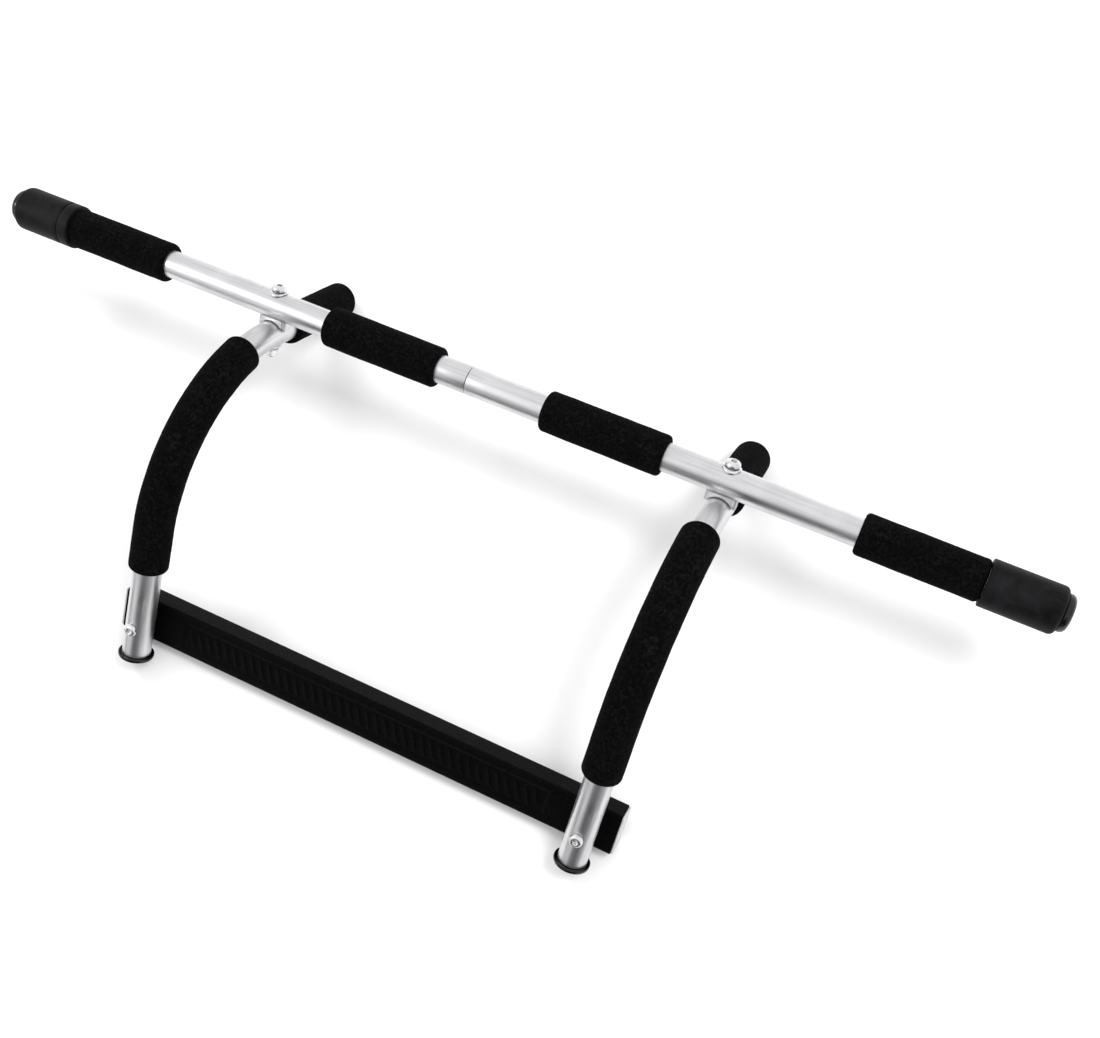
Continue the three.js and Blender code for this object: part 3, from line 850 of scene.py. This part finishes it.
def makeWasher(name, place, radius, hole, bentOver=None):
    # flat, or pressed over a tube that lies along the place's X
    thick, edge = washerLook["thickness"], washerLook["edge"]
    rings, straight = [], []
    section = [(hole, edge), (hole + edge, 0), (radius - edge, 0), (radius, edge), (radius, thick - edge)]
    section += [(radius - edge, thick), (hole + edge, thick), (hole, thick - edge)]
    for r, z in closeSteps(section + section[:1], 0.0012)[:-1]:
        ring = []
        for a in around(washerLook["sides"]):
            x, y = r * math.cos(a), r * math.sin(a)
            height = z if bentOver is None else math.sqrt((bentOver + z) ** 2 - y * y)
            ring.append(Vector((x, y, height)))
        straight.append(ring)
        rings.append([place @ point for point in ring])
    return skinRings(nameOf(name), rings, straight, boltPaint, closed=True, creaseAngle=40)


saddleShape = {
    "width": 0.027, "depth": 0.015, "wrap": 0.0065, "corner": 0.003, "bevel": 0.0006,
    "flare": 0.0013, "flareDepth": 0.0035,  # wider mouth at both ends of the arm's seat
}


def makeSaddle(side, x):
    node = "saddle_" + side
    there = jointFrame(x)
    low, high = arm["radius"] - saddleShape["wrap"], barRise - barTube["radius"] + saddleShape["wrap"]
    size = Vector((saddleShape["width"], saddleShape["depth"], high - low))
    block = Matrix.LocRotScale(Vector((0, 0, (low + high) / 2)), None, size)
    work = bmesh.new()
    bmesh.ops.create_cube(work, size=1, matrix=block)
    upright = [e for e in work.edges if abs((e.verts[0].co - e.verts[1].co).normalized().z) > 0.9]
    bmesh.ops.bevel(work, geom=upright, offset=saddleShape["corner"], segments=5, affect="EDGES")
    work.transform(there)
    mesh = bpy.data.meshes.new(nameOf(node))
    work.to_mesh(mesh)
    work.free()
    piece = bpy.data.objects.new(nameOf(node), mesh)
    scene.collection.objects.link(piece)
    mesh.materials.append(saddlePaint)
    underBar = there @ Matrix.Translation((0, 0, barRise)) @ Matrix.Rotation(math.pi / 2, 4, "Y")
    overArm = there @ Matrix.Rotation(-math.pi / 2, 4, "X")
    mouth = arm["radius"] + saddleShape["flare"]
    cutters = [
        drillBit(overArm, mouth, -drillReach, saddleShape["flareDepth"] - saddleShape["depth"] / 2),
        drillBit(overArm, mouth, saddleShape["depth"] / 2 - saddleShape["flareDepth"], drillReach),
        drillBit(underBar, barTube["radius"] + gap, -drillReach, drillReach),
        drillBit(overArm, arm["radius"] + gap, -drillReach, drillReach),
        drillBit(there, barTube["boltHole"], 0, barRise),
    ]
    cutAway(piece, cutters)
    edges = piece.modifiers.new("edges", "BEVEL")
    edges.width = saddleShape["bevel"]
    edges.segments = 3
    edges.limit_method = "ANGLE"
    edges.angle_limit = math.radians(40)
    edges.use_clamp_overlap = True
    applyModifiers(piece)
    smoothPiece(piece, 40)
    settle(piece, "saddle_metal", node)


def makeBarFixing(side, x):
    there = jointFrame(x)
    stack = gap + washerLook["thickness"] + gap
    seat = barRise + barTube["radius"] + stack
    nutTop = -(arm["radius"] + stack)
    hole = barTube["boltHole"]
    length = seat - nutTop + nutLook["height"] + nutLook["tip"]
    bolt = makeBolt("bar_bolt_" + side, there @ Matrix.Translation((0, 0, seat)), barBolt, length)
    settle(bolt, "bolt_steel", "bar_bolt_" + side)
    headPlace = there @ Matrix.Translation((0, 0, barRise))
    headWasher = makeWasher(
        "bar_bolt_washer_" + side, headPlace, washerLook["barRadius"], hole, barTube["radius"] + gap,
    )
    settle(headWasher, "bolt_steel", "bar_bolt_washer_" + side)
    nutPlace = there @ Matrix.Rotation(math.pi, 4, "Y") @ Matrix.Rotation(math.pi / 2, 4, "Z")
    nutWasher = makeWasher(
        "bar_nut_washer_" + side, nutPlace, washerLook["barRadius"], hole, arm["radius"] + gap,
    )
    settle(nutWasher, "bolt_steel", "bar_nut_washer_" + side)
    nutSeat = there @ Matrix.Translation((0, 0, nutTop - nutLook["height"]))
    nut = makeNut("bar_nut_" + side, nutSeat, nutLook["barRadius"], hole)
    settle(nut, "bolt_steel", "bar_nut_" + side)


def makeFootFixing(side, x):
    # +Z out of the front of the leg
    out = legFrame(x) @ Matrix.Translation((0, 0, braceMiddle)) @ Matrix.Rotation(math.pi / 2, 4, "X")
    inside = brace["coverWall"] + gap + brace["tubeWall"]
    seat = arm["radius"] + gap
    washerFront = -(brace["offset"] + inside + gap)
    nutFront = washerFront - washerLook["thickness"] - gap
    hole = footBolt["shank"] + gap
    length = seat - nutFront + nutLook["height"] + nutLook["tip"]
    bolt = makeBolt("foot_bolt_" + side, out @ Matrix.Translation((0, 0, seat)), footBolt, length)
    settle(bolt, "bolt_steel", "foot_bolt_" + side)
    washerSeat = out @ Matrix.Translation((0, 0, washerFront - washerLook["thickness"]))
    washer = makeWasher("foot_washer_" + side, washerSeat, washerLook["footRadius"], hole)
    settle(washer, "bolt_steel", "foot_washer_" + side)
    nutSeat = out @ Matrix.Translation((0, 0, nutFront - nutLook["height"]))
    nut = makeNut("foot_nut_" + side, nutSeat, nutLook["footRadius"], hole)
    settle(nut, "bolt_steel", "foot_nut_" + side)


for side, sign in sides:
    x = sign * arm["spacing"] / 2
    makeArmTube(side, x)
    makeArmGrips(side, x)
    makeArmPlugs(side, x)
    makeSaddle(side, x)
    makeBarFixing(side, x)
    makeFootFixing(side, x)
    print(side, "arm made")


# brace

coverShape = {
    "panelLength": 0.356,
    "panelHeight": 0.0256,
    "panelDepth": 0.0006,
    "ribPitch": 0.0089,
    "ribRise": 0.00045,
    "ringStep": 0.00115,  # between the rings of points along the panel
}
capShape = {"flange": 0.0016, "inset": 0.0008, "plugDepth": 0.014, "edge": 0.0005}


def braceSection(inset, across=30, through=12, cornerSteps=6):
    # points once round the rounded rectangle: (depth towards the rear, height), front face first
    rounding = max(brace["rounding"] - inset, 0.0004)
    d, h = brace["depth"] / 2 - inset, brace["height"] / 2 - inset
    corners = (((-d, -h), 180, 270), ((d, -h), 270, 360), ((d, h), 0, 90), ((-d, h), 90, 180))
    runs = (through, across, through, across)
    points = []
    for (cornerPlace, start, end), run in zip(corners, runs):
        centre = (math.copysign(abs(cornerPlace[0]) - rounding, cornerPlace[0]),
                  math.copysign(abs(cornerPlace[1]) - rounding, cornerPlace[1]))
        points.append((arc(centre, rounding, start, end, cornerSteps), run))
    section = []
    for k, (bend, run) in enumerate(points):
        section += bend
        following = points[(k + 1) % 4][0][0]
        last = bend[-1]
        section += [
            (last[0] + (following[0] - last[0]) * i / run, last[1] + (following[1] - last[1]) * i / run)
            for i in range(1, run)
        ]
    return section


def softStep(value, low, high):
    share = min(max((value - low) / (high - low), 0), 1)
    return share * share * (3 - 2 * share)


def panelDrop(x, height):
    # a sunk panel on the front face with low upright ribs in it
    halfLength, halfHeight = coverShape["panelLength"] / 2, coverShape["panelHeight"] / 2
    inside = (1 - softStep(abs(x), halfLength - 0.0012, halfLength)) * (
        1 - softStep(abs(height), halfHeight - 0.0012, halfHeight))
    ribArea = (1 - softStep(abs(x), halfLength - 0.008, halfLength - 0.006)) * (
        1 - softStep(abs(height), halfHeight - 0.0052, halfHeight - 0.0036))
    wave = math.cos(fullTurn * (x + 0.35 * height) / coverShape["ribPitch"])
    return inside * coverShape["panelDepth"] - ribArea * softStep(wave, 0.1, 0.8) * coverShape["ribRise"]


def braceRings(stations):
    # stations are (place along the brace, inset of the section, whether the panel shows there)
    base = legFrame(0) @ Matrix.Translation((0, brace["offset"] + brace["depth"] / 2, braceMiddle))
    rings, straight = [], []
    frontFace = -brace["depth"] / 2
    for x, inset, panelled in stations:
        flat = []
        for depth, height in braceSection(inset):
            drop = panelDrop(x, height) if panelled and depth < frontFace + 0.0001 else 0
            flat.append(Vector((x, depth + drop, height)))
        straight.append(flat)
        rings.append([base @ point for point in flat])
    return rings, straight


def makeBraceCover():
    half, wall = brace["length"] / 2, brace["coverWall"]
    edge = 0.0006
    panelHalf = coverShape["panelLength"] / 2
    outerStations = [(-half, edge, False), (-half + edge * 0.4, edge * 0.3, False)]
    outerStations.append((-half + edge, 0, False))
    plain = 9
    for k in range(1, plain):
        outerStations.append((-half + edge + (half - edge - panelHalf - 0.001) * k / plain, 0, True))
    steps = round(coverShape["panelLength"] / coverShape["ringStep"])
    for k in range(steps + 1):
        outerStations.append((-panelHalf - 0.001 + (2 * panelHalf + 0.002) * k / steps, 0, True))
    nearEnd = outerStations[: plain + 2]
    outerStations += [(-x, inset, panelled) for x, inset, panelled in reversed(nearEnd)]
    innerStations = [(x, wall, False) for x in (half, half / 3, -half / 3, -half)]
    rings, straight = braceRings(outerStations + innerStations)
    piece = skinRings("braceCover", rings, straight, coverPaint, closed=True, creaseAngle=40)
    base = legFrame(0) @ Matrix.Translation((0, 0, braceMiddle)) @ Matrix.Rotation(math.pi / 2, 4, "X")
    bits = [
        drillBit(
            base @ Matrix.Translation((sign * arm["spacing"] / 2, 0, 0)),
            footBolt["shank"] + gap, -brace["offset"] - brace["depth"] / 2, 0,
        )
        for _, sign in sides
    ]
    cutAway(piece, bits)
    smoothPiece(piece, 40)
    settle(piece, "cover_rubber", "brace_cover")


def makeBraceCaps():
    half = brace["length"] / 2
    shankInset = brace["coverWall"] + brace["tubeWall"] + 3 * gap
    seat, edge, inset = half + gap, capShape["edge"], capShape["inset"]
    face = seat + capShape["flange"]
    stations = [
        (half - capShape["plugDepth"], shankInset + 0.001),
        (half - capShape["plugDepth"] + 0.001, shankInset),
        (seat, shankInset), (seat, inset + 0.0002), (seat + 0.0003, inset),
        (face - edge, inset), (face - edge * 0.3, inset + edge * 0.3), (face, inset + edge),
        (face, inset + 0.003), (face - 0.0005, inset + 0.0036), (face - 0.0005, inset + 0.006),
    ]
    for side, sign in sides:
        rings, straight = braceRings([(sign * x, shrink, False) for x, shrink in stations])
        node = "brace_end_plug_" + side
        piece = skinRings(nameOf(node), rings, straight, capPaint, creaseAngle=40)
        settle(piece, "pale_plastic", node)


makeBraceCover()
makeBraceCaps()
frame["nodes"]["brace_tube"].data.materials[0] = hiddenTubePaint
print("brace made")


# floor and light

floorLook = {"colour": 0.95, "size": 40.0}
lights = {
    # "mirrored": seen by what shines; "lights": brightens what is matt
    "overhead": {
        "from": (1.65, 0.62, 3.2), "size": 1.1, "power": 44,
        "mirrored": False, "lights": True,
    },
    "second": {
        "from": (-1.9, 0.9, 2.6), "size": 1.0, "power": 20,
        "mirrored": False, "lights": True,
    },
    "glint": {
        "from": (1.65, 0.62, 3.2), "size": 0.15, "power": 1.8,
        "mirrored": True, "lights": False,
    },
    "softBox": {
        "from": (-1.85, -1.0, 1.95), "size": 0.7, "power": 20,
        "mirrored": True, "lights": False,
    },
}
skyLook = {"bright": 1.04, "dark": 0.06, "facing": (0.24, -0.95, 0.17), "widest": 0.76, "narrowest": 0.95}
flagCard = {"from": -0.29, "to": -3.0, "half": 2.5, "height": 0.001, "colour": 0.02}


def layFlat(name, half, low, high, height):
    mesh = bpy.data.meshes.new(name)
    corners = [(-half, low, height), (half, low, height), (half, high, height), (-half, high, height)]
    mesh.from_pydata(corners, [], [(0, 1, 2, 3)])
    flat = bpy.data.objects.new(name, mesh)
    scene.collection.objects.link(flat)
    return flat


def layFloor(look):
    half = look["size"] / 2
    floor = layFlat("floor", half, -half, half, 0)
    paint, tree, shader = newPaint("floorPaper", Roughness=0.9, Specular_IOR_Level=0.0)
    cloud = noiseOf(tree, objectOf(tree), 3, 2)
    tree.links.new(
        blendColours(tree, cloud, grey(look["colour"]), grey(look["colour"] - 0.01)),
        shader.inputs["Base Color"],
    )
    floor.data.materials.append(paint)


def layFlagCard(look):
    # a dark card in front, seen only by what shines
    card = layFlat("flagCard", look["half"], look["to"], look["from"], look["height"])
    card.visible_camera = False
    card.visible_diffuse = False
    card.visible_shadow = False
    paint, tree, shader = newPaint("cardBlack", Roughness=0.9)
    mottle = noiseOf(tree, objectOf(tree), 8)
    shade = blendColours(tree, mottle, grey(look["colour"]), grey(look["colour"] * 1.5))
    tree.links.new(shade, shader.inputs["Base Color"])
    card.data.materials.append(paint)


def hangLight(name, light):
    lamp = bpy.data.lights.new(name, "AREA")
    lamp.shape = "DISK"
    lamp.size = light["size"]
    lamp.energy = light["power"]
    made = bpy.data.objects.new(name, lamp)
    made.location = light["from"]
    made.visible_glossy = light["mirrored"]
    made.visible_diffuse = light["lights"]
    made.rotation_euler = (-Vector(light["from"])).to_track_quat("-Z", "Y").to_euler()
    scene.collection.objects.link(made)


def paintSky(look):
    # white all round, with the darker front of the room low down, for the metal to mirror
    world = bpy.data.worlds.new("studio")
    scene.world = world
    world.use_nodes = True
    tree = world.node_tree
    direction = addNode(tree, "TexCoord").outputs["Generated"]
    facing = addNode(tree, "VectorMath", operation="DOT_PRODUCT")
    tree.links.new(direction, facing.inputs[0])
    facing.inputs[1].default_value = Vector(look["facing"]).normalized()
    dark = ramp(tree, facing.outputs["Value"], look["widest"], look["narrowest"])
    shade = blendColours(tree, dark, grey(look["bright"]), grey(look["dark"]))
    seen = addNode(tree, "LightPath").outputs["Is Camera Ray"]
    shade = blendColours(tree, seen, shade, grey(1.0))
    tree.links.new(shade, tree.nodes["Background"].inputs["Color"])
    tree.nodes["Background"].inputs["Strength"].default_value = 1.0


layFloor(floorLook)
layFlagCard(flagCard)
for name, light in lights.items():
    hangLight(name, light)
paintSky(skyLook)
scene.view_settings.view_transform = "Standard"
print("floor and light set")
